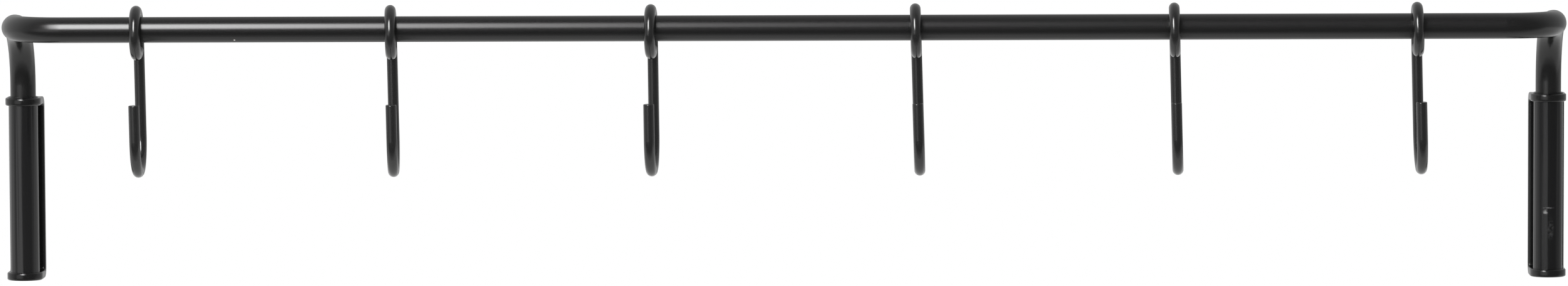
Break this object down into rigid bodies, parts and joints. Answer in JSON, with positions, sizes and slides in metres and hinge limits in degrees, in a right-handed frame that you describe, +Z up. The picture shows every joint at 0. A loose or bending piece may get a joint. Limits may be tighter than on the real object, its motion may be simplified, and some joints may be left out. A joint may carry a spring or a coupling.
{
  "type": "kitchen utensil rail",
  "caption": "Round bar bent back and down at both ends, standing in folded wall brackets, with loose wire hooks that swing on it to hang utensils.",
  "frame": {"origin": "middle of the wall screws' pattern, on the wall plane at the backs of the bracket plates", "axes": "+X along the bar, to the right as seen from the room; +Y into the wall; +Z up"},
  "size_m": [0.614, 0.1044, 0.1106],
  "materials": {
    "powder_coat": "satin black powder coat on steel",
    "lacquered_strip": "semi-gloss black paint on folded steel strip",
    "gloss_sleeve": "glossy black sleeve",
    "black_screw": "black coated steel screw"
  },
  "bodies": {
    "wall_frame": {"rail_bar": "powder_coat", "bracket_left": "lacquered_strip", "bracket_right": "lacquered_strip", "leg_sleeve_left": "gloss_sleeve", "leg_sleeve_right": "gloss_sleeve", "wall_screws": "black_screw"},
    "hook_1": {"hook_1": "powder_coat"},
    "hook_2": {"hook_2": "powder_coat"},
    "hook_3": {"hook_3": "powder_coat"},
    "hook_4": {"hook_4": "powder_coat"},
    "hook_5": {"hook_5": "powder_coat"},
    "hook_6": {"hook_6": "powder_coat"}
  },
  "joints": [
    {"name": "hook_1_swing", "type": "hinge", "parent": "wall_frame", "child": "hook_1", "pos_m": [-0.2503, -0.056, 0.0652], "axis": [1, 0, 0], "range_deg": [-220, 55]},
    {"name": "hook_2_swing", "type": "hinge", "parent": "wall_frame", "child": "hook_2", "pos_m": [-0.1515, -0.056, 0.0652], "axis": [1, 0, 0], "range_deg": [-220, 55]},
    {"name": "hook_3_swing", "type": "hinge", "parent": "wall_frame", "child": "hook_3", "pos_m": [-0.0506, -0.056, 0.0652], "axis": [1, 0, 0], "range_deg": [-220, 55]},
    {"name": "hook_4_swing", "type": "hinge", "parent": "wall_frame", "child": "hook_4", "pos_m": [0.052, -0.056, 0.0652], "axis": [1, 0, 0], "range_deg": [-220, 55]},
    {"name": "hook_5_swing", "type": "hinge", "parent": "wall_frame", "child": "hook_5", "pos_m": [0.1521, -0.056, 0.0652], "axis": [1, 0, 0], "range_deg": [-220, 55]},
    {"name": "hook_6_swing", "type": "hinge", "parent": "wall_frame", "child": "hook_6", "pos_m": [0.2459, -0.056, 0.0652], "axis": [1, 0, 0], "range_deg": [-220, 55]}
  ]
}
